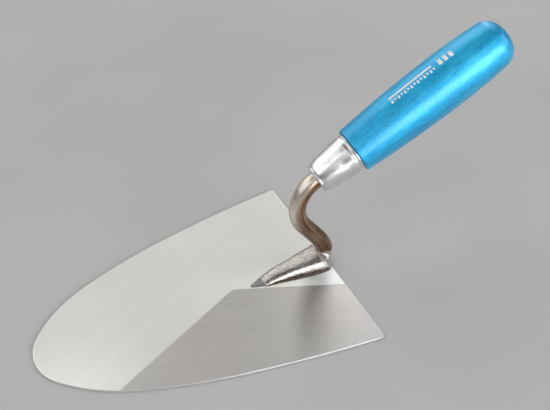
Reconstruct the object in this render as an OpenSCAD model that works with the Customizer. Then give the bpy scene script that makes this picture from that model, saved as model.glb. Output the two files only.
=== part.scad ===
// Tongue-shaped brick trowel with a forged swan neck and a turned wooden grip.
// Frame: +Z up, blade lying flat with its sole at Z = 0, tip towards -X, handle
// towards +X, mirror plane XZ. The origin lies on the sole, on the centreline,
// under the middle of the foot.

/* [Blade] */
// Length of the blade from its heel edge to its tip
blade_length = 160; // [159:0.5:162]
// Thickness of the blade sheet
blade_thickness = 1.2; // [0.8:0.1:1.6]
// Radius of the rounded tip
tip_radius = 26.5; // [25:0.5:28]
// Angle turned by the tip arc on each side
tip_turn = 40.3; // [39:0.1:41]
// Radius of the shoulder arc behind the tip
shoulder_radius = 83; // [80:1:86]
// Angle turned by the shoulder arc
shoulder_turn = 28.2; // [27:0.1:29]
// Radius of the side arc
side_radius = 290; // [280:5:300]
// Angle turned by the side arc
side_turn = 9.9; // [9:0.1:10.5]
// Radius of the long arc that runs back to the heel
heel_side_radius = 650; // [600:10:700]
// Rounding of the two heel corners
corner_radius = 2; // [1:0.25:4]
// Distance from the origin back to the heel edge
heel_x = 20; // [18:1:22]

/* [Shank] */
// Diameter of the round neck
neck_d = 9; // [8:0.1:9.2]
// Centreline radius of the upper bend
upper_bend_r = 17.9; // [17:0.1:19]
// Angle turned by the upper bend
upper_bend_turn = 99; // [95:1:102]
// Straight length between the two neck bends
neck_straight = 12.6; // [11:0.2:14]
// Centreline radius of the lower sweep
lower_bend_r = 25; // [22:1:28]
// Angle turned by the lower sweep
lower_bend_turn = 17; // [15:1:19]
// Centreline radius of the tight bend at the heel
heel_bend_r = 4.8; // [4.6:0.1:5.4]
// Length of the foot ahead of the heel edge
foot_length = 44; // [41:0.5:46]
// Width of the foot at its rear
foot_width = 17.2; // [15:0.2:18]
// Height of the foot at its rear
foot_height = 6.6; // [5.5:0.1:7.2]
// Length of the tapered tang behind the ferrule's front face
tang_length = 86; // [74:1:98]
// Diameter of the tang's end
tang_tip_d = 4; // [3:0.5:5]

/* [Foot weld] */
// Diameter of one weld nugget
nugget_d = 4; // [3:0.5:5]
// Height of one weld nugget, half of it in the blade
nugget_h = 0.8; // [0.6:0.1:1]

/* [Ferrule] */
// Length of the ferrule
ferrule_length = 23.5; // [22.5:0.5:24.5]
// Wall thickness of the ferrule
ferrule_wall = 1; // [0.8:0.1:1.2]
// Radius of the ferrule's front face where its edge rounding starts
ferrule_front_r = 6.4; // [6.3:0.1:7]
// Rounding of the ferrule's front edge
ferrule_edge_r = 1.4; // [1:0.1:1.6]
// Radius of the ferrule just before its rear bead
ferrule_rear_r = 10.8; // [10.6:0.1:11]

/* [Handle] */
// Height of the ferrule's front centre above the sole
grip_z = 55.1; // [53.5:0.1:57]
// Distance of the ferrule's front centre behind the origin
grip_x = 16.6; // [15.6:0.1:17.6]
// Rise of the handle's axis above the blade plane
grip_rise = 25; // [24:0.5:26]
// Largest radius of the grip
grip_max_r = 14.5; // [14:0.1:15]
// Position of the largest radius, from the ferrule's front
grip_max_s = 81.7; // [79.7:0.5:83.7]
// Radius of the long arc ahead of the largest radius
grip_front_arc = 720; // [700:10:800]
// Radius of the arc behind the largest radius
grip_rear_arc = 320; // [300:10:340]
// Radius of the butt's rounded shoulder
butt_edge_r = 10; // [9:0.5:10.5]
// Position of that rounding's centre, from the ferrule's front
butt_edge_s = 109.8; // [108.8:0.1:111.8]
// Radius of the domed butt end
butt_dome_r = 26; // [24:1:30]

/* [Hidden] */
eps = 0.01;
neck_r = neck_d / 2;
// the tang stays round this far behind the ferrule's front face
tang_round_s = 15.7;
sole_z = blade_thickness;

// ---- points on an arc: centre c, radius r, from angle a0 to a1 in n steps
function arc_pts(c, r, a0, a1, n) = [for (i = [0:n]) let (a = a0 + (a1 - a0) * i / n) [c[0] + r * cos(a), c[1] + r * sin(a)]];

// ---- blade outline: four tangent arcs from the tip to the heel, mirrored
tip_x = heel_x - blade_length;
t1 = 180 - tip_turn;
t2 = t1 - shoulder_turn;
t3 = t2 - side_turn;
c1 = [tip_x + tip_radius, 0];
c2 = c1 - (shoulder_radius - tip_radius) * [cos(t1), sin(t1)];
c3 = c2 - (side_radius - shoulder_radius) * [cos(t2), sin(t2)];
c4 = c3 - (heel_side_radius - side_radius) * [cos(t3), sin(t3)];
// angle on the last arc where it meets the start of the heel corner
corner_x = heel_x - corner_radius;
t4 = acos((corner_x - c4[0]) / heel_side_radius);
corner_y = c4[1] + heel_side_radius * sin(t4);
upper_outline = concat(
    arc_pts(c1, tip_radius, 180, t1, 24),
    [for (p = [1:16]) arc_pts(c2, shoulder_radius, t1, t2, 16)[p]],
    [for (p = [1:12]) arc_pts(c3, side_radius, t2, t3, 12)[p]],
    [for (p = [1:14]) arc_pts(c4, heel_side_radius, t3, t4, 14)[p]],
    [for (p = [1:8]) arc_pts([corner_x, corner_y - corner_radius], corner_radius, 90, 0, 8)[p]]);
blade_outline = concat(upper_outline, [for (i = [len(upper_outline) - 1:-1:1]) [upper_outline[i][0], -upper_outline[i][1]]]);

// ---- shank centreline in the XZ plane. Every bend is tangent to the next run.
grip_dir = [cos(grip_rise), sin(grip_rise)];
grip_a = [grip_x, grip_z];
p0 = grip_a - 0.8 * grip_dir;
a0 = 180 + grip_rise;
bc1 = p0 + upper_bend_r * [-sin(a0), cos(a0)];
a1 = a0 + upper_bend_turn;
p1 = bc1 + upper_bend_r * [sin(a1), -cos(a1)];
p2 = p1 + neck_straight * [cos(a1), sin(a1)];
bc2 = p2 + lower_bend_r * [sin(a1), -cos(a1)];
a2 = a1 - lower_bend_turn;
p3 = bc2 + lower_bend_r * [-sin(a2), cos(a2)];
p4 = p3 + 1.65 * [cos(a2), sin(a2)];
bc3 = p4 + heel_bend_r * [sin(a2), -cos(a2)];

// ---- sections of the forging, from the toe of the foot to the end of the tang:
// [centre, heading, half depth, half width, roundness exponent]
// share of the foot's length from the toe, share of its width, share of its height
foot_stations = [[0, 0.08, 0.05], [0.06, 0.22, 0.085], [0.15, 0.42, 0.14], [0.19, 0.46, 0.28], [0.24, 0.5, 0.4], [0.34, 0.57, 0.51],
                 [0.455, 0.65, 0.6], [0.59, 0.735, 0.715], [0.72, 0.85, 0.86]];
// the foot stays at full width this far round the heel bend, then narrows to the neck
foot_hold = 26;
foot_fade = 50;
function mix(a, b, t) = a + (b - a) * t;
function ease(t) = t * t * (3 - 2 * t);
ring_n = 32;
heel_rise = bc3[1] - sole_z;
bend_steps = 16;
foot_sections = [for (st = foot_stations) [[heel_x - foot_length + foot_length * st[0], sole_z], 0, foot_height * st[2], foot_width / 2 * st[1], mix(2, 3.1, st[0] / 0.72)]];
heel_sections = [for (i = [0:bend_steps]) let (h = (a2 - 180) * i / bend_steps, t = ease(min(1, h / 62)), v = mix(heel_rise, heel_bend_r, t), w = ease(min(1, max(0, (h - foot_hold) / foot_fade))))
    [bc3 + v * [sin(h), -cos(h)], h, mix(foot_height, neck_r, t), mix(foot_width / 2, neck_r, w), mix(3.1, 2, w)]];
sweep_sections = [for (i = [1:5]) let (h = mix(a2, a1, i / 5) - 180) [bc2 + lower_bend_r * [sin(h), -cos(h)], h, neck_r, neck_r, 2]];
upper_sections = [for (i = [0:24]) let (h = mix(a1, a0, i / 24) - 180) [bc1 - upper_bend_r * [sin(h), -cos(h)], h, neck_r, neck_r, 2]];
// share of the taper, with a squarish section that stays inside the conical bore
tang_sections = [for (q = [[0, 1, 2], [0.06, 1.2, 4], [0.3, 1.27, 6], [0.98, 1.27, 6], [1, 1.7, 6]])
    let (s = tang_round_s + (tang_length - tang_round_s) * q[0], r = mix(neck_r, tang_tip_d / 2, q[0]) / q[1]) [grip_a + s * grip_dir, grip_rise, r, r, q[2]]];
shank_sections = concat(foot_sections, heel_sections, sweep_sections, upper_sections, tang_sections);

// one ring of points: a rounded section square to its heading, cut off by the blade
function ring(q) = let (d = [sin(q[1]), -cos(q[1])]) [for (i = [0:ring_n - 1])
    let (a = 360 * (i + 0.5) / ring_n, c = cos(a), s = sin(a),
         v = q[2] * sign(s) * pow(abs(s), 2 / q[4]),
         z = q[0][1] + v * d[1],
         u = (z < sole_z && d[1] < -0.01) ? (sole_z - q[0][1]) / d[1] : v)
    [q[0][0] + u * d[0], q[3] * sign(c) * pow(abs(c), 2 / q[4]), q[0][1] + u * d[1]]];
shank_points = [for (q = shank_sections) each ring(q)];
shank_k = len(shank_sections);
shank_faces = concat(
    [[for (i = [ring_n - 1:-1:0]) i]],
    [[for (i = [0:ring_n - 1]) (shank_k - 1) * ring_n + i]],
    [for (j = [0:shank_k - 2], i = [0:ring_n - 1]) let (n = (i + 1) % ring_n) [j * ring_n + i, j * ring_n + n, (j + 1) * ring_n + n]],
    [for (j = [0:shank_k - 2], i = [0:ring_n - 1]) let (n = (i + 1) % ring_n) [j * ring_n + i, (j + 1) * ring_n + n, (j + 1) * ring_n + i]]);
nugget_x = [-8, 2, 12];

// ---- ferrule profile, radius against distance from its front face
ferrule_run = ferrule_length - 2.6;
ferrule_start_r = ferrule_front_r + ferrule_edge_r * cos(20);
function ferrule_r(u) = ferrule_start_r + (ferrule_rear_r - ferrule_start_r) * pow(u, 0.58);
ferrule_side = [for (i = [0:12]) let (u = i / 12) [ferrule_r(u), ferrule_edge_r + (ferrule_run - ferrule_edge_r) * u]];
ferrule_inner = [for (i = [0:12]) let (u = i / 12) [ferrule_r(u) - ferrule_wall, max(ferrule_wall, ferrule_edge_r + (ferrule_run - ferrule_edge_r) * u)]];
bead_r = 0.55;
bead_s = ferrule_length - bead_r;

// ---- handle profile, radius against distance from the ferrule's front face
shoulder_s = ferrule_length + 0.2;
rear_c = [grip_max_r - grip_rear_arc, grip_max_s];
butt_edge_c = [sqrt(pow(grip_rear_arc - butt_edge_r, 2) - pow(butt_edge_s - grip_max_s, 2)) + rear_c[0], butt_edge_s];
butt_turn = asin((butt_edge_s - grip_max_s) / (grip_rear_arc - butt_edge_r));
dome_c = butt_edge_s - sqrt(pow(butt_dome_r - butt_edge_r, 2) - pow(butt_edge_c[0], 2));
dome_turn = asin(butt_edge_c[0] / (butt_dome_r - butt_edge_r));
grip_start_r = grip_max_r - pow(grip_max_s - shoulder_s, 2) / (2 * grip_front_arc);
grip_profile = concat(
    [[grip_start_r - 0.5, shoulder_s], [grip_start_r - 0.15, shoulder_s + 0.15], [grip_start_r, shoulder_s + 0.5]],
    [for (i = [1:14]) let (s = shoulder_s + 0.5 + (grip_max_s - shoulder_s - 0.5) * i / 14) [grip_max_r - pow(grip_max_s - s, 2) / (2 * grip_front_arc), s]],
    [for (i = [1:8]) let (a = butt_turn * i / 8) [rear_c[0] + grip_rear_arc * cos(a), rear_c[1] + grip_rear_arc * sin(a)]],
    [for (i = [1:12]) let (a = butt_turn + (90 - dome_turn - butt_turn) * i / 12) [butt_edge_c[0] + butt_edge_r * cos(a), butt_edge_c[1] + butt_edge_r * sin(a)]],
    [for (i = [1:10]) let (a = dome_turn * (1 - i / 10)) [butt_dome_r * sin(a), dome_c + butt_dome_r * cos(a)]]);

// places a body of revolution, drawn along +Z, on the handle's axis
module on_grip_axis() translate([grip_x, 0, grip_z]) rotate([0, 90 - grip_rise, 0]) children();

module nuggets() for (x = nugget_x) translate([x, 0, sole_z - nugget_h / 2]) cylinder(d = nugget_d, h = nugget_h, $fn = 32);

// ground steel sheet with a tongue-shaped outline
module blade() color([0.78, 0.77, 0.75]) difference() {
    linear_extrude(blade_thickness) polygon(blade_outline);
    nuggets();
}

// one forging: wedge foot, swan neck and tang
module shank() color([0.42, 0.3, 0.22]) difference() {
    polyhedron(shank_points, shank_faces, convexity = 6);
    nuggets();
}

// weld nuggets that join the foot's sole to the blade
module foot_weld() color([0.5, 0.5, 0.48]) nuggets();

// plated steel cup with a round hole for the neck and a rolled bead at its rear
module ferrule() color([0.86, 0.86, 0.85]) on_grip_axis() difference() {
    rotate_extrude($fn = 96) polygon(concat(
        [[0, 0], [ferrule_front_r, 0]],
        [for (a = [-70:20:-10]) [ferrule_front_r + ferrule_edge_r * cos(a), ferrule_edge_r + ferrule_edge_r * sin(a)]],
        ferrule_side,
        [[ferrule_rear_r - 0.25, ferrule_run + 0.4], [ferrule_rear_r - 0.25, bead_s - bead_r - 0.1]],
        [for (a = [-60:30:60]) [ferrule_rear_r - 0.1 + bead_r * cos(a), bead_s + bead_r * sin(a)]],
        [[ferrule_rear_r - ferrule_wall, ferrule_length], [ferrule_rear_r - ferrule_wall, ferrule_run]],
        [for (i = [11:-1:0]) ferrule_inner[i]],
        [[ferrule_inner[0][0] - 0.3, ferrule_wall], [0, ferrule_wall]]));
    translate([0, 0, -5]) cylinder(r = neck_r, h = 10, $fn = 48);
}

// turned grip with a spigot inside the ferrule and a blind bore for the tang
module handle() color([0.1, 0.5, 0.8]) on_grip_axis() difference() {
    rotate_extrude($fn = 96) polygon(concat(
        [[0, ferrule_wall], [ferrule_inner[0][0] - 0.3, ferrule_wall]],
        [for (i = [0:11]) ferrule_inner[i]],
        [[ferrule_rear_r - ferrule_wall, ferrule_run], [ferrule_rear_r - ferrule_wall, shoulder_s]],
        grip_profile));
    translate([0, 0, -1]) cylinder(r = neck_r, h = tang_round_s + 1, $fn = 48);
    translate([0, 0, tang_round_s - eps]) cylinder(r1 = neck_r, r2 = tang_tip_d / 2, h = tang_length - tang_round_s, $fn = 48);
}

blade();
shank();
foot_weld();
ferrule();
handle();
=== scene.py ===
import math

import bmesh
import bpy
from mathutils import Matrix, Vector, noise


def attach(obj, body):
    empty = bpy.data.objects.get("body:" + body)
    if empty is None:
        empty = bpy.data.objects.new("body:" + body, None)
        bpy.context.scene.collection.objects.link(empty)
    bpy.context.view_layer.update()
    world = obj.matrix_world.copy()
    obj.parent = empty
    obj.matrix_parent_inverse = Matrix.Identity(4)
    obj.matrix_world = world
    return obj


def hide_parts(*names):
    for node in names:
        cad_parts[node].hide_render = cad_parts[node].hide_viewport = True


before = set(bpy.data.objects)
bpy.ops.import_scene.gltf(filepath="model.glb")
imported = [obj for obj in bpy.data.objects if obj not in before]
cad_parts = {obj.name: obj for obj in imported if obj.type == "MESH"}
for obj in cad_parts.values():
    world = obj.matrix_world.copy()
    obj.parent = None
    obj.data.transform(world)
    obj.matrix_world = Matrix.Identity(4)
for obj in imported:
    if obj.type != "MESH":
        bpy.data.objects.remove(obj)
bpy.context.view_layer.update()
MM = 0.001

# ------------------------------------------------------------------ dimensions
# the same as the CAD model's, in millimetres, in the same frame
TH = 1.2                      # blade thickness
HEEL_X = 20.0
TIP_X = HEEL_X - 160.0
GRIP_A = Vector((16.6, 0.0, 55.1))
RISE = math.radians(25.0)
GDIR = Vector((math.cos(RISE), 0.0, math.sin(RISE)))
NECK_R = 4.5
TANG_S, TANG_L, TANG_TIP_R = 15.7, 86.0, 2.0
FERRULE_L = 23.5


def mix(a, b, t):
    return a + (b - a) * t


def ease(t):
    t = min(1.0, max(0.0, t))
    return t * t * (3 - 2 * t)


def smooth_between(x, a, b):
    return ease((x - a) / (b - a))


# ------------------------------------------------------------------ mesh helpers
def new_object(name, bm, smooth=True, sharp_deg=None):
    me = bpy.data.meshes.new(name)
    bm.normal_update()
    bm.to_mesh(me)
    bm.free()
    ob = bpy.data.objects.new(name, me)
    bpy.context.scene.collection.objects.link(ob)
    for p in me.polygons:
        p.use_smooth = smooth
    if smooth and sharp_deg is not None:
        me.set_sharp_from_angle(angle=math.radians(sharp_deg))
    return ob


def on_axis(r, s, a):
    """A point on the grip, r from its axis, s behind the ferrule's front, at angle a round it."""
    up = Vector((-math.sin(RISE), 0, math.cos(RISE)))
    side = Vector((0, 1, 0))
    return (GRIP_A + GDIR * s + up * (r * math.cos(a)) + side * (r * math.sin(a))) * MM


def lathe(name, profile, n, wobble=None, uv_len=None):
    """A closed body of revolution on the grip's axis. profile: closed list of (r, s) in mm.
    UV: u runs round, v runs along the profile."""
    bm = bmesh.new()
    uvl = bm.loops.layers.uv.new("UVMap")
    rings = []
    for k, (r, s) in enumerate(profile):
        if r < 1e-6:
            rings.append([bm.verts.new(on_axis(0, s, 0))])
            continue
        ring = []
        for i in range(n):
            a = 2 * math.pi * i / n
            dr = wobble(k, r, s, a) if wobble else 0.0
            ring.append(bm.verts.new(on_axis(r + dr, s, a)))
        rings.append(ring)
    m = len(profile)
    length = [0.0]
    for k in range(m):
        a, b = profile[k], profile[(k + 1) % m]
        length.append(length[-1] + math.hypot(a[0] - b[0], a[1] - b[1]))
    total = length[-1]
    for k in range(m):
        ra, rb = rings[k], rings[(k + 1) % m]
        va, vb = length[k] / total, length[k + 1] / total
        for i in range(n):
            j = (i + 1) % n
            ua, ub = i / n, (i + 1) / n
            if len(ra) == 1 and len(rb) == 1:
                break
            if len(ra) == 1:
                f = bm.faces.new((ra[0], rb[j], rb[i]))
                uv = [((ua + ub) / 2, va), (ub, vb), (ua, vb)]
            elif len(rb) == 1:
                f = bm.faces.new((ra[i], ra[j], rb[0]))
                uv = [(ua, va), (ub, va), ((ua + ub) / 2, vb)]
            else:
                f = bm.faces.new((ra[i], ra[j], rb[j], rb[i]))
                uv = [(ua, va), (ub, va), (ub, vb), (ua, vb)]
            for lp, c in zip(f.loops, uv):
                lp[uvl].uv = c
    bmesh.ops.recalc_face_normals(bm, faces=bm.faces)
    return bm


# ------------------------------------------------------------------ material helpers
class Mat:
    """A small wrapper for building a node tree."""

    def __init__(self, name):
        self.m = bpy.data.materials.new(name)
        self.m.use_nodes = True
        self.t = self.m.node_tree
        self.t.nodes.clear()
        self.out = self.n("ShaderNodeOutputMaterial")
        self.bsdf = self.n("ShaderNodeBsdfPrincipled")
        self.link(self.bsdf.outputs[0], self.out.inputs[0])

    def n(self, kind, **kw):
        node = self.t.nodes.new(kind)
        for k, v in kw.items():
            setattr(node, k, v)
        return node

    def link(self, a, b):
        self.t.links.new(a, b)

    def set(self, **kw):
        for k, v in kw.items():
            self.bsdf.inputs[k.replace("_", " ")].default_value = v

    def coord(self, rot=(0, 0, 0), scale=(1, 1, 1), loc=(0, 0, 0), kind="Object"):
        tc = self.n("ShaderNodeTexCoord")
        mp = self.n("ShaderNodeMapping", vector_type="POINT")
        mp.inputs["Location"].default_value = loc
        mp.inputs["Rotation"].default_value = rot
        mp.inputs["Scale"].default_value = scale
        self.link(tc.outputs[kind], mp.inputs["Vector"])
        return mp.outputs[0]

    def stretched(self, angle_z, scale):
        """Object coordinates turned so that x runs along the given direction, then scaled."""
        tc = self.n("ShaderNodeTexCoord")
        a = self.n("ShaderNodeMapping", vector_type="POINT")
        a.inputs["Rotation"].default_value = (0, 0, -angle_z)
        b = self.n("ShaderNodeMapping", vector_type="POINT")
        b.inputs["Scale"].default_value = scale
        self.link(tc.outputs["Object"], a.inputs["Vector"])
        self.link(a.outputs[0], b.inputs["Vector"])
        return b.outputs[0]

    def noise(self, vec, scale=1.0, detail=2.0, rough=0.5, distort=0.0):
        nd = self.n("ShaderNodeTexNoise")
        nd.inputs["Scale"].default_value = scale
        nd.inputs["Detail"].default_value = detail
        nd.inputs["Roughness"].default_value = rough
        nd.inputs["Distortion"].default_value = distort
        self.link(vec, nd.inputs["Vector"])
        return nd.outputs["Fac"]

    def ramp(self, fac, stops, mode="LINEAR"):
        r = self.n("ShaderNodeValToRGB")
        r.color_ramp.interpolation = mode
        el = r.color_ramp.elements
        while len(el) < len(stops):
            el.new(0.5)
        for e, (p, c) in zip(el, stops):
            e.position = p
            e.color = (c[0], c[1], c[2], 1) if isinstance(c, (tuple, list)) else (c, c, c, 1)
        self.link(fac, r.inputs[0])
        return r.outputs[0]

    def mapr(self, fac, a, b, c, d):
        r = self.n("ShaderNodeMapRange")
        for k, v in zip(("From Min", "From Max", "To Min", "To Max"), (a, b, c, d)):
            r.inputs[k].default_value = v
        self.link(fac, r.inputs["Value"])
        return r.outputs[0]

    def math(self, op, a, b=None, clamp=False):
        m = self.n("ShaderNodeMath", operation=op, use_clamp=clamp)
        for i, v in enumerate((a, b)):
            if v is None:
                continue
            if isinstance(v, (int, float)):
                m.inputs[i].default_value = v
            else:
                self.link(v, m.inputs[i])
        return m.outputs[0]

    def mixc(self, fac, a, b, blend="MIX"):
        m = self.n("ShaderNodeMix", data_type="RGBA", blend_type=blend)
        for sock, v in ((m.inputs[0], fac), (m.inputs[6], a), (m.inputs[7], b)):
            if isinstance(v, (int, float)):
                sock.default_value = v
            elif isinstance(v, (tuple, list)):
                sock.default_value = (v[0], v[1], v[2], 1)
            else:
                self.link(v, sock)
        return m.outputs[2]

    def bump(self, height, strength, distance, normal=None):
        b = self.n("ShaderNodeBump")
        b.inputs["Strength"].default_value = strength
        b.inputs["Distance"].default_value = distance
        self.link(height, b.inputs["Height"])
        if normal is not None:
            self.link(normal, b.inputs["Normal"])
        return b.outputs[0]


# ------------------------------------------------------------------ blade
GRAIN_A = math.radians(26.5)      # first grinding pass, over most of the blade
GRAIN_B = math.radians(-26.0)     # second pass, on the -Y half
APEX = Vector((-33.2, 1.1))       # where the second pass starts on the centreline
PASS_TIP = Vector((-108.3, -36.3))
PASS_HEEL = Vector((20.0, -23.2))


def arc(c, r, a0, a1, n, skip_first=False):
    return [(c[0] + r * math.cos(a0 + (a1 - a0) * i / n), c[1] + r * math.sin(a0 + (a1 - a0) * i / n)) for i in range(1 if skip_first else 0, n + 1)]


def blade_half():
    """Outline from the tip to the heel on the +Y side, four tangent arcs and a rounded corner."""
    rad = math.radians
    r1, r2, r3, r4, rc = 26.5, 83.0, 290.0, 650.0, 2.0
    t1 = rad(180 - 40.3)
    t2 = t1 - rad(28.2)
    t3 = t2 - rad(9.9)
    c1 = (TIP_X + r1, 0)
    c2 = (c1[0] - (r2 - r1) * math.cos(t1), c1[1] - (r2 - r1) * math.sin(t1))
    c3 = (c2[0] - (r3 - r2) * math.cos(t2), c2[1] - (r3 - r2) * math.sin(t2))
    c4 = (c3[0] - (r4 - r3) * math.cos(t3), c3[1] - (r4 - r3) * math.sin(t3))
    cx = HEEL_X - rc
    t4 = math.acos((cx - c4[0]) / r4)
    cy = c4[1] + r4 * math.sin(t4)
    pts = arc(c1, r1, math.pi, t1, 60) + arc(c2, r2, t1, t2, 44, True) + arc(c3, r3, t2, t3, 36, True) + arc(c4, r4, t3, t4, 40, True)
    pts += arc((cx, cy - rc), rc, math.pi / 2, 0, 10, True)
    return pts


def blade_outline():
    up = blade_half()
    return up + [(x, -y) for x, y in reversed(up[1:])]


def inset(loop, d):
    """The closed loop moved inward by d along each point's normal."""
    n = len(loop)
    out = []
    for i in range(n):
        a, b, c = Vector(loop[i - 1]), Vector(loop[i]), Vector(loop[(i + 1) % n])
        e1, e2 = (b - a).normalized(), (c - b).normalized()
        n1, n2 = Vector((e1.y, -e1.x)), Vector((e2.y, -e2.x))
        m = (n1 + n2)
        m = m / max(0.2, m.length_squared) * 2
        out.append((b.x + m.x * d, b.y + m.y * d))
    return out


def build_blade():
    out = blade_outline()
    if sum(a[0] * b[1] - b[0] * a[1] for a, b in zip(out, out[1:] + out[:1])) > 0:
        out.reverse()
    # rings from the middle of the sole, round the edge, to the top: inset and height
    section = [(0.55, 0.0), (0.22, 0.03), (0.04, 0.14), (0.0, 0.3), (0.0, 0.72), (0.03, 0.95), (0.12, 1.09), (0.28, 1.17), (0.5, 1.2)]
    bm = bmesh.new()
    uvl = bm.loops.layers.uv.new("UVMap")
    n = len(out)
    rings = []
    for d, z in section:
        loop = inset(out, d) if d else out
        rings.append([bm.verts.new((x * MM, y * MM, z * MM)) for x, y in loop])
    for k in range(len(rings) - 1):
        for i in range(n):
            j = (i + 1) % n
            f = bm.faces.new((rings[k][i], rings[k][j], rings[k + 1][j], rings[k + 1][i]))
            f.material_index = 2
            u0, u1 = i * 0.7, (i + 1) * 0.7
            for lp, c in zip(f.loops, [(k * 0.3, u0), (k * 0.3, u1), (k * 0.3 + 0.3, u1), (k * 0.3 + 0.3, u0)]):
                lp[uvl].uv = c
    sole = bm.faces.new(rings[0])
    sole.material_index = 3
    top = bm.faces.new(rings[-1])
    top.material_index = 0
    # cut the top along the two edges of the second grinding pass
    top_faces = [top]
    for p, q in ((APEX, PASS_TIP), (APEX, PASS_HEEL)):
        d = (q - p).normalized()
        nrm = Vector((-d.y, d.x, 0))
        geom = [f for f in bm.faces if f.material_index in (0, 1)]
        geom += list({e for f in geom for e in f.edges}) + list({v for f in geom for v in f.verts})
        bmesh.ops.bisect_plane(bm, geom=geom, dist=1e-7, plane_co=(p.x * MM, p.y * MM, TH * MM), plane_no=nrm)
    bm.faces.ensure_lookup_table()

    def below(pt, a, b):
        return (b.x - a.x) * (pt.y - a.y) - (b.y - a.y) * (pt.x - a.x)

    for f in bm.faces:
        if f.material_index != 0:
            continue
        c = f.calc_center_median() * 1000
        s1 = below(c, APEX, PASS_TIP)
        s2 = below(c, APEX, PASS_HEEL)
        if s1 > 0 and s2 < 0:
            f.material_index = 1
    for f in bm.faces:
        if f.material_index in (0, 1, 3):
            g = GRAIN_A if f.material_index == 0 else (GRAIN_B if f.material_index == 1 else 0.0)
            along, across = Vector((math.cos(g), math.sin(g))), Vector((-math.sin(g), math.cos(g)))
            for lp in f.loops:
                p = Vector((lp.vert.co.x, lp.vert.co.y)) * 1000
                lp[uvl].uv = (p.dot(across) * 0.01, p.dot(along) * 0.01)
    bmesh.ops.recalc_face_normals(bm, faces=bm.faces)
    ob = new_object("blade_plate", bm, smooth=True, sharp_deg=28)
    for p in ob.data.polygons:
        if p.material_index in (0, 1, 3):
            p.use_smooth = False
    return ob


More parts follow.
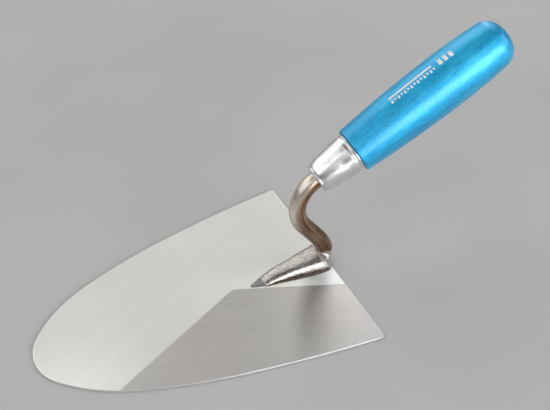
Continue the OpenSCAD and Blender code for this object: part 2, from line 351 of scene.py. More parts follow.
def steel_zone(name, grain, base, rough, aniso, seed, contrast=1.0, paint_foot_reflection=False, lift=()):
    m = Mat(name)
    # very fine scratches, long streaks and broad clouding
    fine = m.noise(m.stretched(grain, (60, 5200, 300)), 1.0, 2.0, 0.6)
    mid = m.noise(m.stretched(grain, (14, 1100, 100)), 1.0, 3.0, 0.6)
    streak = m.noise(m.stretched(grain, (7, 190, 60)), 1.0, 2.0, 0.55)
    cloud = m.noise(m.coord(scale=(22, 22, 22), loc=(seed, 0, 0)), 1.0, 3.0, 0.5)
    spots = m.noise(m.coord(scale=(300, 300, 300), loc=(0, seed, 0)), 1.0, 2.0, 0.4)
    v = m.math("ADD", m.math("MULTIPLY", m.mapr(fine, 0.3, 0.7, -1, 1), 0.035 * contrast), m.math("MULTIPLY", m.mapr(mid, 0.3, 0.7, -1, 1), 0.03 * contrast))
    v = m.math("ADD", v, m.math("MULTIPLY", m.mapr(streak, 0.3, 0.7, -1, 1), 0.022 * contrast))
    v = m.math("ADD", v, m.math("MULTIPLY", m.mapr(cloud, 0.3, 0.7, -1, 1), 0.02))
    v = m.math("ADD", v, 1.0)
    dark = m.ramp(spots, [(0.0, 0.9), (0.3, 1.0), (1.0, 1.0)])
    col = m.mixc(1.0, base, dark, "MULTIPLY")
    hue = m.mixc(m.mapr(cloud, 0.35, 0.65, 0, 1), (1.0, 0.985, 0.965), (0.985, 1.0, 0.99))
    col = m.mixc(1.0, col, hue, "MULTIPLY")
    foot_reflection_paint = None
    if paint_foot_reflection:
        # painted reflection: the foot's brown lower side as it shows in the blade, a brown crescent along the -Y side
        # of the foot, out to a curved edge
        pos = m.n("ShaderNodeSeparateXYZ")
        tc = m.n("ShaderNodeTexCoord")
        m.link(tc.outputs["Object"], pos.inputs[0])
        t = m.mapr(pos.outputs[0], -0.016, 0.019, 0, 1)
        edge = m.ramp(t, [(0.0, 5.4 / 12), (0.314, 7.7 / 12), (0.6, 9.7 / 12), (0.786, 10.5 / 12), (0.96, 10.3 / 12), (1.0, 9.6 / 12)], "B_SPLINE")
        wob = m.math("MULTIPLY", m.math("SUBTRACT", m.noise(m.coord(scale=(500, 500, 500)), 1.0, 3.0, 0.6), 0.5), 0.0009)
        out = m.math("ADD", m.math("ADD", m.math("MULTIPLY", edge, 0.012), pos.outputs[1]), wob)
        foot_reflection_paint = m.mapr(out, -0.0001, 0.0003, 0, 1)
        foot_reflection_paint = m.math("MULTIPLY", foot_reflection_paint, m.mapr(pos.outputs[0], -0.0175, -0.0155, 0, 1))
        foot_reflection_paint = m.math("MULTIPLY", foot_reflection_paint, m.mapr(pos.outputs[0], 0.0175, 0.0195, 1, 0))
        foot_reflection_paint = m.math("MULTIPLY", foot_reflection_paint, m.mapr(pos.outputs[1], 0.0, -0.002, 0, 1))
        col = m.mixc(m.math("MULTIPLY", foot_reflection_paint, 0.92), col, m.mixc(m.mapr(mid, 0.3, 0.7, 0, 1), (0.12, 0.088, 0.07), (0.19, 0.15, 0.12)))
    # painted light and shade: the ground made brighter in some places and darker in one, each (axis, from, to, gain),
    # multiplied pairwise
    for painted_light_patch in lift:
        px = m.n("ShaderNodeSeparateXYZ")
        pt = m.n("ShaderNodeTexCoord")
        m.link(pt.outputs["Object"], px.inputs[0])
        (ax0, a0, b0), (ax1, a1, b1), painted_light_gain = painted_light_patch
        w = m.math("MULTIPLY", m.mapr(px.outputs[ax0], a0, b0, 0, 1), m.mapr(px.outputs[ax1], a1, b1, 0, 1))
        v = m.math("MULTIPLY", v, m.mapr(w, 0, 1, 1.0, painted_light_gain))
    vv = m.n("ShaderNodeCombineColor")
    for i in range(3):
        m.link(v, vv.inputs[i])
    col = m.mixc(1.0, col, vv.outputs[0], "MULTIPLY")
    m.link(col, m.bsdf.inputs["Base Color"])
    r = m.mapr(m.math("ADD", m.math("MULTIPLY", mid, 0.5), m.math("MULTIPLY", cloud, 0.5)), 0.3, 0.7, rough - 0.035, rough + 0.035)
    m.link(r, m.bsdf.inputs["Roughness"])
    h = m.math("ADD", m.math("MULTIPLY", fine, 0.6), m.math("MULTIPLY", mid, 0.4))
    nrm = m.bump(h, 0.35, 0.00002)
    wav = m.noise(m.coord(scale=(14, 14, 14), loc=(0, 0, seed)), 1.0, 1.0, 0.5)
    nrm = m.bump(wav, 0.25, 0.0004, nrm)
    m.link(nrm, m.bsdf.inputs["Normal"])
    tan = m.n("ShaderNodeTangent", direction_type="UV_MAP", uv_map="UVMap")
    m.link(tan.outputs[0], m.bsdf.inputs["Tangent"])
    m.set(Metallic=1.0, Anisotropic=aniso, Anisotropic_Rotation=0.0)
    return m.m


def edge_steel():
    m = Mat("steel_edge")
    a = m.noise(m.coord(scale=(900, 900, 900)), 1.0, 2.0, 0.6)
    b = m.noise(m.coord(scale=(60, 60, 60)), 1.0, 2.0, 0.5)
    col = m.mixc(m.mapr(b, 0.3, 0.7, 0, 1), (0.80, 0.79, 0.775), (0.88, 0.87, 0.86))
    m.link(m.mixc(m.mapr(a, 0.6, 0.85, 0, 0.3), col, (0.62, 0.61, 0.59)), m.bsdf.inputs["Base Color"])
    m.link(m.mapr(a, 0.3, 0.7, 0.34, 0.44), m.bsdf.inputs["Roughness"])
    m.link(m.bump(a, 0.06, 0.00003), m.bsdf.inputs["Normal"])
    m.set(Metallic=1.0)
    return m.m


blade = build_blade()
# the last argument of each zone is painted light and shade: brighter patches beside the foot on the -Y side, at the
# tip and in the -Y heel corner, and painted shade beside the foot on the +Y side
blade.data.materials.append(steel_zone("steel_first_pass", GRAIN_A, (0.735, 0.73, 0.713), 0.40, 0.95, 3.0, 0.9, True,
                                       (((0, -0.016, 0.006), (1, -0.002, -0.01), 1.3), ((0, -0.085, -0.13), (1, 0.012, -0.026), 1.28), ((0, -0.045, 0.0), (1, -0.002, 0.012), 0.82))))
blade.data.materials.append(steel_zone("steel_second_pass", GRAIN_B, (0.715, 0.695, 0.68), 0.41, 1.0, 9.0, 1.1, False,
                                       (((0, -0.014, 0.016), (1, -0.03, -0.058), 1.22),)))
blade.data.materials.append(edge_steel())
blade.data.materials.append(steel_zone("steel_sole", 0.0, (0.62, 0.61, 0.6), 0.34, 0.6, 17.0, 1.3))

# ------------------------------------------------------------------ shank: foot, neck and tang
A0 = math.radians(205)
A1 = A0 + math.radians(99)
A2 = A1 - math.radians(17)
R_UP, R_LOW, R_HEEL, STRAIGHT = 17.9, 25.0, 4.8, 12.6


def v2(a):
    return Vector((math.cos(a), math.sin(a)))


GD = Vector((math.cos(RISE), math.sin(RISE)))
GA = Vector((GRIP_A.x, GRIP_A.z))
P0 = GA - 0.8 * GD
BC1 = P0 + R_UP * Vector((-math.sin(A0), math.cos(A0)))
P1 = BC1 + R_UP * Vector((math.sin(A1), -math.cos(A1)))
P2 = P1 + STRAIGHT * v2(A1)
BC2 = P2 + R_LOW * Vector((math.sin(A1), -math.cos(A1)))
P3 = BC2 + R_LOW * Vector((-math.sin(A2), math.cos(A2)))
P4 = P3 + 1.65 * v2(A2)
BC3 = P4 + R_HEEL * Vector((math.sin(A2), -math.cos(A2)))
FOOT_L, FOOT_W, FOOT_H = 44.0, 17.2, 6.6
STATIONS = [(0, 0.08, 0.05), (0.06, 0.22, 0.085), (0.15, 0.42, 0.14), (0.19, 0.46, 0.28), (0.24, 0.5, 0.4), (0.34, 0.57, 0.51),
            (0.455, 0.65, 0.6), (0.59, 0.735, 0.715), (0.72, 0.85, 0.86)]


def station(t):
    for a, b in zip(STATIONS, STATIONS[1:]):
        if t <= b[0]:
            u = (t - a[0]) / (b[0] - a[0])
            return mix(a[1], b[1], u), mix(a[2], b[2], u)
    return STATIONS[-1][1:]


def shank_sections():
    out = []
    x0 = HEEL_X - FOOT_L
    nf = 64
    for i in range(nf):
        t = 0.72 * i / (nf - 1)
        w, h = station(t)
        out.append((Vector((x0 + FOOT_L * t, TH)), 0.0, FOOT_H * h, FOOT_W / 2 * w, mix(2.0, 3.1, t / 0.72), "foot"))
    end = A2 - math.pi
    nb = 44
    rise = BC3.y - TH
    for i in range(1, nb + 1):
        h = end * i / nb
        t = ease(min(1, math.degrees(h) / 62))
        v = mix(rise, R_HEEL, t)
        wt = ease((math.degrees(h) - 26) / 50)
        out.append((BC3 + v * Vector((math.sin(h), -math.cos(h))), h, mix(FOOT_H, NECK_R, t), mix(FOOT_W / 2, NECK_R, wt), mix(3.1, 2, wt), "heel"))
    for i in range(1, 15):
        h = mix(A2, A1, i / 14) - math.pi
        out.append((BC2 + R_LOW * Vector((math.sin(h), -math.cos(h))), h, NECK_R, NECK_R, 2, "neck"))
    for i in range(1, 16):
        h = A1 - math.pi
        out.append((P2 + (P1 - P2) * (i / 16), h, NECK_R, NECK_R, 2, "neck"))
    for i in range(0, 73):
        h = mix(A1, A0, i / 72) - math.pi
        out.append((BC1 - R_UP * Vector((math.sin(h), -math.cos(h))), h, NECK_R, NECK_R, 2, "neck"))
    for q, k, e in ((0, 1, 2), (0.06, 1.2, 4), (0.3, 1.27, 6), (0.98, 1.27, 6), (1, 1.7, 6)):
        s = TANG_S + (TANG_L - TANG_S) * q
        r = mix(NECK_R, TANG_TIP_R, q) / k
        out.append((GA + s * GD, RISE, r, r, e, "tang"))
    return out


def build_shank():
    n = 64
    bm = bmesh.new()
    uvl = bm.loops.layers.uv.new("UVMap")
    secs = shank_sections()
    rings, arcs, last, total = [], [], None, 0.0
    for c, h, hv, w, e, kind in secs:
        d = Vector((math.sin(h), -math.cos(h)))
        ring = []
        total += (c - last).length if last is not None else 0.0
        last = c
        arcs.append(total)
        for i in range(n):
            a = 2 * math.pi * (i + 0.5) / n
            ca, sa = math.cos(a), math.sin(a)
            v = hv * math.copysign(abs(sa) ** (2 / e), sa)
            y = w * math.copysign(abs(ca) ** (2 / e), ca)
            z = c.y + v * d.y
            if z < TH and d.y < -0.01:
                v = (TH - c.y) / d.y
            drift = -1.5 * (1 - smooth_between(c.x, HEEL_X - FOOT_L, -2.0)) if kind == "foot" else 0.0
            p = Vector((c.x + v * d.x, y + drift, c.y + v * d.y))
            # forge marks: shallow dents on the foot's back and faint flats on the neck
            if kind in ("foot", "heel") and p.z > TH + 0.25:
                out = Vector((0.25 * (1 if d.x > 0.5 else 0), y / max(w, 1e-3), -sa if kind == "foot" else 0.8))
                if kind == "heel":
                    out = Vector((d.x * sa, ca, d.y * sa))
                out = out.normalized() if out.length > 0 else Vector((0, 0, 1))
                fade = smooth_between(p.z, TH + 0.25, TH + 1.2)
                keep = 1.0 if kind == "foot" else 1.0 - smooth_between(math.degrees(h), 10, 55)
                q = Vector((p.x * 0.42, p.y * 0.5, p.z * 0.5))
                dent = noise.noise(q + Vector((7.3, 1.1, 4.2)))
                fine = noise.noise(q * 3.1 + Vector((2.3, 8.1, 0.4)))
                toe = smooth_between(p.x, -17.5, -15.5)
                amp = (0.08 * dent + 0.02 * fine - 0.04) * fade * keep * toe
                p = p + out * min(0.05, amp)
            elif kind in ("neck", "heel"):
                q = Vector((arcs[-1] * 0.09, ca * 1.4, sa * 1.4))
                amp = 0.07 * noise.noise(q + Vector((1.7, 5.5, 3.3))) - 0.05
                out = Vector((d.x * sa, ca, d.y * sa))
                p = p + out * amp
            ring.append(bm.verts.new(p * MM))
        rings.append(ring)
    f0 = bm.faces.new(list(reversed(rings[0])))
    f1 = bm.faces.new(rings[-1])
    for k in range(len(rings) - 1):
        for i in range(n):
            j = (i + 1) % n
            f = bm.faces.new((rings[k][i], rings[k][j], rings[k + 1][j], rings[k + 1][i]))
            for lp, c in zip(f.loops, [(i / n, arcs[k] * 0.01), ((i + 1) / n, arcs[k] * 0.01), ((i + 1) / n, arcs[k + 1] * 0.01), (i / n, arcs[k + 1] * 0.01)]):
                lp[uvl].uv = c
    bmesh.ops.recalc_face_normals(bm, faces=bm.faces)
    return new_object("shank_forging", bm, smooth=True, sharp_deg=40)


def forged_steel():
    m = Mat("forged_steel")
    # along the bar: streaks drawn out along its length, in UV space
    tc = m.n("ShaderNodeTexCoord")
    mp = m.n("ShaderNodeMapping")
    mp.inputs["Scale"].default_value = (34, 3.6, 1)
    m.link(tc.outputs["UV"], mp.inputs["Vector"])
    streak = m.noise(mp.outputs[0], 1.0, 4.0, 0.6, 0.3)
    mp2 = m.n("ShaderNodeMapping")
    mp2.inputs["Scale"].default_value = (9, 9, 1)
    m.link(tc.outputs["UV"], mp2.inputs["Vector"])
    blotch = m.noise(mp2.outputs[0], 1.0, 4.0, 0.55)
    pit = m.noise(m.coord(scale=(700, 700, 700)), 1.0, 3.0, 0.6)
    oxide_and_painted_shade = m.ramp(m.math("ADD", m.math("MULTIPLY", streak, 0.6), m.math("MULTIPLY", blotch, 0.4)),
                   [(0.3, (0.07, 0.034, 0.018)), (0.42, (0.17, 0.088, 0.045)), (0.52, (0.29, 0.17, 0.10)), (0.62, (0.42, 0.29, 0.20)), (0.75, (0.55, 0.43, 0.34))])
    oxide_and_painted_shade = m.mixc(m.mapr(pit, 0.62, 0.8, 0, 0.6), oxide_and_painted_shade, (0.06, 0.035, 0.02))
    lit_side_steel = m.mixc(m.mapr(streak, 0.35, 0.65, 0, 1), (0.56, 0.46, 0.395), (0.84, 0.77, 0.71))
    geo0 = m.n("ShaderNodeNewGeometry")
    n0 = m.n("ShaderNodeSeparateXYZ")
    m.link(geo0.outputs["Normal"], n0.inputs[0])
    p0 = m.n("ShaderNodeSeparateXYZ")
    t0 = m.n("ShaderNodeTexCoord")
    m.link(t0.outputs["Object"], p0.inputs[0])
    # painted light and shade: where the normal turns toward -X and up the bar gets the bright clean steel colour,
    # where it turns toward +X and down, and low on the bar, the brown
    side_shade_facing = m.math("ADD", m.math("MULTIPLY", n0.outputs[0], 0.9), m.math("MULTIPLY", n0.outputs[2], -0.35))
    side_shade_facing = m.math("ADD", side_shade_facing, m.math("MULTIPLY", m.math("SUBTRACT", streak, 0.5), 1.3))
    side_shade_facing = m.math("ADD", side_shade_facing, m.mapr(p0.outputs[2], 0.012, 0.032, 0.45, 0))
    painted_side_shade = m.mapr(side_shade_facing, -0.60, -0.14, 0, 1)
    # painted shade: the brown darker toward the bottom of the bar
    low = m.mapr(p0.outputs[2], 0.008, 0.034, 0.5, 1.0)
    low_shade_rgb = m.n("ShaderNodeCombineColor")
    for i in range(3):
        m.link(low, low_shade_rgb.inputs[i])
    oxide_and_painted_shade = m.mixc(1.0, oxide_and_painted_shade, low_shade_rgb.outputs[0], "MULTIPLY")
    oxide_and_painted_shade = m.mixc(painted_side_shade, lit_side_steel, oxide_and_painted_shade)
    ground = m.mixc(m.mapr(m.noise(m.coord(scale=(260, 420, 420)), 1.0, 3.0, 0.6), 0.35, 0.7, 0, 1), (0.80, 0.79, 0.77), (0.52, 0.49, 0.46))
    # bright where the foot's sides were ground, brown on its back and all the way up the neck
    sep = m.n("ShaderNodeSeparateXYZ")
    pos = m.n("ShaderNodeTexCoord")
    m.link(pos.outputs["Object"], sep.inputs[0])
    ragged = m.math("MULTIPLY", m.math("SUBTRACT", m.noise(m.coord(scale=(330, 330, 330)), 1.0, 3.0, 0.6), 0.5), 0.004)
    height = m.math("ADD", sep.outputs[2], ragged)
    brown = m.mapr(height, 0.0078, 0.0096, 0, 1)
    geo = m.n("ShaderNodeNewGeometry")
    nsep = m.n("ShaderNodeSeparateXYZ")
    m.link(geo.outputs["Normal"], nsep.inputs[0])
    patch = m.noise(m.coord(scale=(210, 420, 420), loc=(2, 5, 1)), 1.0, 4.0, 0.6)
    film = m.math("MULTIPLY", m.mapr(nsep.outputs[2], 0.5, 0.8, 0, 0.9), m.mapr(patch, 0.36, 0.56, 0.62, 1))
    # worn through in small glints toward the toe
    glint = m.noise(m.coord(scale=(650, 1100, 1100), loc=(6, 2, 9)), 1.0, 2.0, 0.55)
    bare = m.math("MULTIPLY", m.mapr(glint, 0.5, 0.62, 0, 1), m.mapr(sep.outputs[0], 0.006, -0.012, 0.25, 0.85))
    film = m.math("MULTIPLY", film, m.math("SUBTRACT", 1.0, bare))
    greyed = m.mixc(m.mapr(pit, 0.35, 0.7, 0, 1), (0.40, 0.365, 0.345), (0.25, 0.22, 0.205))
    ground = m.mixc(film, ground, greyed)
    # the sides rougher and painted darker toward the toe, in ragged steps: painted shade that dims their reflection
    # there
    dull_and_painted_shade = m.math("MULTIPLY", m.mapr(sep.outputs[0], 0.010, -0.012, 0.1, 0.8), m.mapr(patch, 0.34, 0.6, 0.55, 1))
    dull_and_painted_shade = m.math("MULTIPLY", dull_and_painted_shade, m.mapr(nsep.outputs[2], 0.55, 0.75, 1, 0))
    ground = m.mixc(dull_and_painted_shade, ground, (0.43, 0.385, 0.365))
    # the last millimetre above the blade was out of the wheel's reach
    seam = m.mapr(m.math("ADD", sep.outputs[2], m.math("MULTIPLY", ragged, 0.25)), 0.0016, 0.0021, 0.85, 0)
    brown = m.math("MAXIMUM", brown, seam, True)
    col = m.mixc(brown, ground, oxide_and_painted_shade)
    # the toe is a small dull flat
    toe = m.mapr(sep.outputs[0], -0.0170, -0.0174, 0, 1)
    col = m.mixc(toe, col, m.mixc(m.mapr(pit, 0.3, 0.7, 0, 1), (0.19, 0.21, 0.205), (0.27, 0.29, 0.285)))
    m.link(col, m.bsdf.inputs["Base Color"])
    m.link(m.math("SUBTRACT", 1.0, m.math("MULTIPLY", brown, 0.2)), m.bsdf.inputs["Metallic"])
    rr = m.math("ADD", m.mapr(brown, 0, 1, 0.2, 0.27), m.math("MULTIPLY", m.math("SUBTRACT", streak, 0.5), 0.2))
    rr = m.math("ADD", rr, m.math("MULTIPLY", toe, 0.2))
    rr = m.math("ADD", rr, m.math("MULTIPLY", m.math("MULTIPLY", film, m.math("SUBTRACT", 1.0, brown)), 0.14))
    rr = m.math("ADD", rr, m.math("MULTIPLY", m.math("MULTIPLY", dull_and_painted_shade, m.math("SUBTRACT", 1.0, brown)), 0.08))
    m.link(rr, m.bsdf.inputs["Roughness"])
    h = m.math("ADD", m.math("MULTIPLY", streak, 0.7), m.math("MULTIPLY", pit, 0.3))
    nrm = m.bump(h, 0.5, 0.00015)
    scuff = m.noise(m.coord(scale=(420, 900, 900), loc=(3, 1, 2)), 1.0, 3.0, 0.6, 0.5)
    wear = m.math("MULTIPLY", scuff, m.mapr(sep.outputs[2], 0.0085, 0.0105, 1, 0))
    m.link(m.bump(wear, 0.7, 0.0004, nrm), m.bsdf.inputs["Normal"])
    m.set(Specular_IOR_Level=0.6)
    return m.m


shank = build_shank()
shank.data.materials.append(forged_steel())

# ------------------------------------------------------------------ ferrule
FR0, FE, FREAR, WALL = 6.4, 1.4, 10.8, 1.0
RUN = FERRULE_L - 2.6
START_R = FR0 + FE * math.cos(math.radians(20))


def ferrule_r(u):
    return START_R + (FREAR - START_R) * max(0.0, u) ** 0.58


def ferrule_profile():
    outer = [(NECK_R + 0.02, 0.0), (NECK_R + 0.5, 0.0), (FR0 - 0.3, 0.0), (FR0, 0.0)]
    outer += [(FR0 + FE * math.cos(math.radians(a)), FE + FE * math.sin(math.radians(a))) for a in range(-78, -19, 8)]
    outer += [(ferrule_r((i / 40) ** 1.6), FE + (RUN - FE) * (i / 40) ** 1.6) for i in range(0, 41)]
    outer += [(FREAR - 0.06, RUN + 0.12), (FREAR - 0.2, RUN + 0.3), (FREAR - 0.25, RUN + 0.5), (FREAR - 0.25, FERRULE_L - 1.35), (FREAR - 0.2, FERRULE_L - 1.2)]
    outer += [(FREAR - 0.1 + 0.55 * math.cos(math.radians(a)), FERRULE_L - 0.55 + 0.55 * math.sin(math.radians(a))) for a in range(-70, 71, 14)]
    outer += [(FREAR - 0.35, FERRULE_L), (FREAR - WALL, FERRULE_L)]
    inner = [(ferrule_r(i / 12) - WALL, max(WALL, FE + (RUN - FE) * i / 12)) for i in range(12, -1, -1)]
    inner += [(ferrule_r(0) - WALL - 0.3, WALL), (NECK_R + 0.02, WALL)]
    return outer + inner


DENT_A, DENT_S = math.radians(-52), 17.2


def ferrule_wobble(k, r, s, a):
    if r < 6.5 or s > FERRULE_L - 2.0 or s < 1.0:
        return 0.0
    q = Vector((math.cos(a) * 1.6, math.sin(a) * 1.6, s * 0.16))
    d = min(0.0, 0.16 * noise.noise(q + Vector((3.1, 0.7, 9.2))) - 0.04)
    # one shallow knock beside the bead, with a softer flat running from it to the front
    da = (a - DENT_A + math.pi) % (2 * math.pi) - math.pi
    d -= 0.24 * math.exp(-((da * 10 / 3.4) ** 2 + ((s - DENT_S + 2.0) / 3.0) ** 2)) * (1 - smooth_between(s, 18.5, 20.8))
    d -= 0.16 * math.exp(-((da * 10 / 2.0) ** 2 + ((s - 9.0) / 6.0) ** 2))
    return d


def plated_steel():
    m = Mat("plated_steel")
    a = m.noise(m.coord(scale=(1500, 1500, 1500)), 1.0, 2.0, 0.5)
    b = m.noise(m.coord(scale=(130, 130, 130)), 1.0, 3.0, 0.5)
    c = m.noise(m.coord(scale=(420, 420, 420), loc=(4, 4, 4)), 1.0, 4.0, 0.65)
    col = m.mixc(m.mapr(b, 0.3, 0.7, 0, 1), (0.80, 0.81, 0.81), (0.88, 0.88, 0.87))
    col = m.mixc(m.mapr(c, 0.66, 0.8, 0, 0.5), col, (0.42, 0.40, 0.36))
    m.link(col, m.bsdf.inputs["Base Color"])
    m.link(m.mapr(b, 0.3, 0.7, 0.22, 0.32), m.bsdf.inputs["Roughness"])
    nrm = m.bump(a, 0.12, 0.00003)
    nrm = m.bump(b, 0.07, 0.0003, nrm)
    m.link(nrm, m.bsdf.inputs["Normal"])
    m.set(Metallic=1.0)
    return m.m


ferrule = new_object("ferrule_cup", lathe("ferrule_cup", ferrule_profile(), 128, ferrule_wobble), smooth=True, sharp_deg=50)
ferrule.data.materials.append(plated_steel())

# ------------------------------------------------------------------ handle
GMAX, SMAX, FARC, RARC = 14.5, 81.7, 720.0, 320.0
BER, BES, BDR = 10.0, 109.8, 26.0
SH = FERRULE_L + 0.2
RCX = GMAX - RARC
BCR = math.sqrt((RARC - BER) ** 2 - (BES - SMAX) ** 2) + RCX
BTURN = math.asin((BES - SMAX) / (RARC - BER))
DOME_C = BES - math.sqrt((BDR - BER) ** 2 - BCR ** 2)
DTURN = math.asin(BCR / (BDR - BER))


def grip_r(s):
    if s <= SMAX:
        return GMAX - (SMAX - s) ** 2 / (2 * FARC)
    return RCX + math.sqrt(RARC ** 2 - (s - SMAX) ** 2)


def handle_profile():
    r0 = grip_r(SH)
    out = [(r0 - 0.5, SH), (r0 - 0.28, SH + 0.04), (r0 - 0.12, SH + 0.14), (r0 - 0.03, SH + 0.3), (r0, SH + 0.5)]
    out += [(grip_r(mix(SH + 0.5, SMAX, i / 70)), mix(SH + 0.5, SMAX, i / 70)) for i in range(1, 71)]
    for i in range(1, 29):
        a = BTURN * i / 28
        out.append((RCX + RARC * math.cos(a), SMAX + RARC * math.sin(a)))
    for i in range(1, 31):
        a = BTURN + (math.pi / 2 - DTURN - BTURN) * i / 30
        out.append((BCR + BER * math.cos(a), BES + BER * math.sin(a)))
    for i in range(1, 25):
        a = DTURN * (1 - i / 24)
        out.append((BDR * math.sin(a) if i < 24 else 0.0, DOME_C + BDR * math.cos(a)))
    # bore, from its blind end back to the front face, then the spigot
    out += [(0.0, TANG_L), (TANG_TIP_R, TANG_L), (NECK_R, TANG_S), (NECK_R, WALL)]
    spigot = [(ferrule_r(0) - WALL - 0.3, WALL)] + [(ferrule_r(i / 12) - WALL, max(WALL + 0.001 * i, FE + (RUN - FE) * i / 12)) for i in range(0, 13)]
    out += spigot + [(FREAR - WALL, SH)]
    return out


def handle_wobble(k, r, s, a):
    if s <= SH + 0.01 or r < 9:
        return 0.0
    # turned wood under lacquer: faint turning waves and a little flatness, never proud of the profile
    f = smooth_between(s, SH, SH + 2) * (1 - smooth_between(s, 105, 110))
    return -0.03 * f * (1 + math.sin(s * 2.1) * 0.5) + 0.03 * f * (noise.noise(Vector((math.cos(a), math.sin(a), s * 0.05)) * 1.3) - 0.6)


def lacquered_wood():
    m = Mat("lacquered_wood")
    # wood figure runs along the grip's axis: turn object space so that x is the axis
    tc = m.n("ShaderNodeTexCoord")
    mp = m.n("ShaderNodeMapping")
    mp.inputs["Rotation"].default_value = (0, RISE, 0)
    m.link(tc.outputs["Object"], mp.inputs["Vector"])

    def scaled(s):
        n = m.n("ShaderNodeMapping")
        n.inputs["Scale"].default_value = s
        m.link(mp.outputs[0], n.inputs["Vector"])
        return n.outputs[0]

    grain = m.noise(scaled((110, 560, 560)), 1.0, 4.0, 0.6, 0.4)
    pores = m.noise(scaled((120, 2400, 2400)), 1.0, 2.0, 0.5)
    flake = m.noise(scaled((1500, 1900, 1900)), 1.0, 2.0, 0.6)
    cloud = m.noise(scaled((28, 60, 60)), 1.0, 3.0, 0.5)
    deep, mid, pale = (0.002, 0.25, 0.54), (0.004, 0.44, 0.78), (0.05, 0.63, 0.92)
    col = m.ramp(m.math("ADD", m.math("MULTIPLY", grain, 0.5), m.math("MULTIPLY", cloud, 0.5)), [(0.28, deep), (0.5, mid), (0.72, pale)])
    col = m.mixc(m.mapr(pores, 0.60, 0.78, 0, 0.2), col, (0.003, 0.10, 0.33))
    col = m.mixc(m.mapr(flake, 0.48, 0.75, 0, 0.45), col, (0.16, 0.62, 0.88))
    m.link(col, m.bsdf.inputs["Base Color"])
    m.link(m.mapr(grain, 0.3, 0.7, 0.5, 0.6), m.bsdf.inputs["Roughness"])
    h = m.math("ADD", m.math("MULTIPLY", grain, 0.6), m.math("MULTIPLY", pores, 0.4))
    m.link(m.bump(h, 0.25, 0.00012), m.bsdf.inputs["Normal"])
    cn = m.bump(grain, 0.06, 0.0001)
    m.link(cn, m.bsdf.inputs["Coat Normal"])
    m.set(Metallic=0.75, Coat_Weight=0.8, Coat_Roughness=0.25, Coat_IOR=1.5)
    return m.m


handle = new_object("handle_grip", lathe("handle_grip", handle_profile(), 160, handle_wobble), smooth=True, sharp_deg=40)
handle.data.materials.append(lacquered_wood())


# ------------------------------------------------------------------ print on the grip: plain bars, no lettering
def grip_patch(bm, s0, s1, a0, a1, lift=0.035, ns=None, na=None, thick=0.02):
    """A thin raised patch that follows the grip between two stations and two angles."""
    ns = ns or max(2, int((s1 - s0) / 0.6))
    na = na or max(2, int(abs(a1 - a0) * GMAX / 0.5))
    grids = []
    for low in (0.0, thick):
        grid = []
        for i in range(ns + 1):
            sv = mix(s0, s1, i / ns)
            grid.append([bm.verts.new(on_axis(grip_r(sv) + lift - 0.03 - low, sv, mix(a0, a1, j / na))) for j in range(na + 1)])
        grids.append(grid)
    top, bot = grids
    for i in range(ns):
        for j in range(na):
            bm.faces.new((top[i][j], top[i][j + 1], top[i + 1][j + 1], top[i + 1][j]))
            bm.faces.new((bot[i][j], bot[i + 1][j], bot[i + 1][j + 1], bot[i][j + 1]))
    for i in range(ns):
        for j in (0, na):
            bm.faces.new((top[i][j], top[i + 1][j], bot[i + 1][j], bot[i][j]))
    for j in range(na):
        for i in (0, ns):
            bm.faces.new((top[i][j], top[i][j + 1], bot[i][j + 1], bot[i][j]))


def build_print():
    bm = bmesh.new()
    mid = PRINT_ANGLE

    def bar(s0, s1, off, wid):
        a = mid + off / GMAX
        grip_patch(bm, s0, s1, a - wid / 2 / GMAX, a + wid / 2 / GMAX)

    bar(52, 78.5, 1.5, 1.3)
    for i in range(14):
        bar(52 + i * 2, 53.1 + i * 2, -1.0 if i % 2 else -1.3, 1.2 if i % 2 else 1.9)
    for i in range(3):
        bar(82 + i * 3.3, 84.1 + i * 3.3, 0.3, 3.6)
    bmesh.ops.recalc_face_normals(bm, faces=bm.faces)
    return new_object("print_bars", bm, smooth=True)


def print_ink():
    m = Mat("print_ink")
    a = m.noise(m.coord(scale=(900, 900, 900)), 1.0, 3.0, 0.6)
    m.link(m.mixc(m.mapr(a, 0.62, 0.72, 0, 1), (0.86, 0.89, 0.90), (0.35, 0.62, 0.80)), m.bsdf.inputs["Base Color"])
    m.link(m.mapr(a, 0.3, 0.7, 0.35, 0.5), m.bsdf.inputs["Roughness"])
    m.link(m.bump(a, 0.2, 0.00003), m.bsdf.inputs["Normal"])
    m.set(Coat_Weight=0.3, Coat_Roughness=0.12)
    return m.m


PRINT_ANGLE = math.radians(-8)
mark = build_print()
mark.data.materials.append(print_ink())

# ------------------------------------------------------------------ weld nuggets keep their CAD solid
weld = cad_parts["foot_weld"]
wm = Mat("weld_steel")
wa = wm.noise(wm.coord(scale=(1200, 1200, 1200)), 1.0, 3.0, 0.6)
wm.link(wm.mixc(wm.mapr(wa, 0.3, 0.7, 0, 1), (0.35, 0.34, 0.33), (0.55, 0.54, 0.52)), wm.bsdf.inputs["Base Color"])
wm.link(wm.mapr(wa, 0.3, 0.7, 0.35, 0.6), wm.bsdf.inputs["Roughness"])
wm.link(wm.bump(wa, 0.4, 0.0001), wm.bsdf.inputs["Normal"])
wm.set(Metallic=1.0)
weld.data.materials.clear()
weld.data.materials.append(wm.m)

for piece, node, slot in ((blade, "blade", "blade_steel"), (shank, "shank", "forged_steel"), (ferrule, "ferrule", "plated_steel"), (handle, "handle", "lacquered_wood")):
    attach(piece, "root")
    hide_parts(node)
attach(mark, "root")

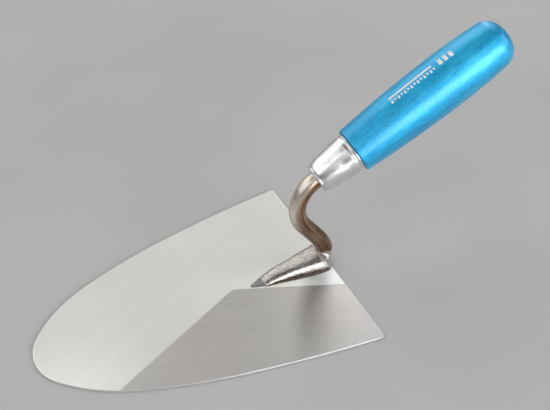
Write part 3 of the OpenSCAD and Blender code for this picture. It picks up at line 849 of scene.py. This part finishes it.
# ------------------------------------------------------------------ floor, light and camera
fbm = bmesh.new()
S = 14.0
fbm.faces.new([fbm.verts.new((x, y, -0.00002)) for x, y in ((-S, -S), (S, -S), (S, S), (-S, S))])
floor = new_object("floor", fbm, smooth=False)
fm = Mat("pale_floor")
fa = fm.noise(fm.coord(scale=(500, 500, 500)), 1.0, 3.0, 0.6)
fb = fm.noise(fm.coord(scale=(9, 9, 9)), 1.0, 2.0, 0.5)
fm.link(fm.mixc(fm.mapr(fb, 0.3, 0.7, 0, 1), (0.50, 0.498, 0.492), (0.53, 0.527, 0.521)), fm.bsdf.inputs["Base Color"])
fm.link(fm.bump(fa, 0.08, 0.0001), fm.bsdf.inputs["Normal"])
fm.set(Roughness=0.85, Specular_IOR_Level=0.2)
floor.data.materials.append(fm.m)

world = bpy.data.worlds.new("studio")
bpy.context.scene.world = world
world.use_nodes = True
world.node_tree.nodes["Background"].inputs[0].default_value = (0.95, 0.975, 1.0, 1)
world.node_tree.nodes["Background"].inputs[1].default_value = 0.14


def area(name, loc, target, w, h, power, colour=(1, 1, 1)):
    d = bpy.data.lights.new(name, "AREA")
    d.shape = "RECTANGLE"
    d.size, d.size_y = w, h
    d.energy = power
    d.color = colour
    o = bpy.data.objects.new(name, d)
    bpy.context.scene.collection.objects.link(o)
    o.location = loc
    o.rotation_euler = (Vector(target) - Vector(loc)).to_track_quat("-Z", "Y").to_euler()
    o.visible_camera = False
    return o


# one broad softbox behind and above, a soft window low behind the camera, and a soft top panel
area("back_softbox", (0.2, 1.95, 1.8), (0.0, 0.0, 0.1), 4.4, 2.5, 34, (1.0, 0.985, 0.965))
area("corner_strip", (1.02, 1.72, 1.1), (0.02, -0.05, 0.0), 0.34, 2.0, 4.5, (1.0, 0.99, 0.975))
area("tip_strip", (0.04, 1.4, 1.44), (-0.13, -0.02, 0.0), 0.3, 0.9, 0.9, (1.0, 0.99, 0.975))
area("side_panel", (-1.7, 0.2, 1.55), (0.0, 0.0, 0.08), 3.2, 1.7, 18, (1.0, 0.99, 0.98))
area("right_panel", (2.0, -0.75, 0.95), (0.0, 0.0, 0.05), 1.3, 1.0, 9, (1.0, 0.99, 0.98))
area("front_window", (0.7, -2.2, 0.46), (0.04, 0.0, 0.06), 2.2, 1.5, 57, (0.97, 0.985, 1.0))
area("front_fill", (-0.9, -1.55, 1.65), (0.0, 0.0, 0.06), 2.6, 1.6, 7, (0.98, 0.99, 1.0))

cam_d = bpy.data.cameras.new("camera")
cam = bpy.data.objects.new("camera", cam_d)
bpy.context.scene.collection.objects.link(cam)
cam_d.sensor_fit = "HORIZONTAL"
cam_d.sensor_width = 36.0
cam_d.lens = 36.0 * 1200.0 / 550.0
cam_d.clip_start, cam_d.clip_end = 0.01, 50.0
rot = Matrix(((0.9018651, 0.3127709, -0.2980163), (-0.4282784, 0.5567126, -0.7117926), (-0.0567186, 0.7695748, 0.6360327)))
cam.matrix_world = Matrix.Translation((-0.184764, -0.425869, 0.428507)) @ rot.to_4x4()
bpy.context.scene.camera = cam
bpy.context.scene.view_settings.view_transform = "Standard"
bpy.context.scene.view_settings.look = "None"
bpy.context.scene.view_settings.exposure = 0.0
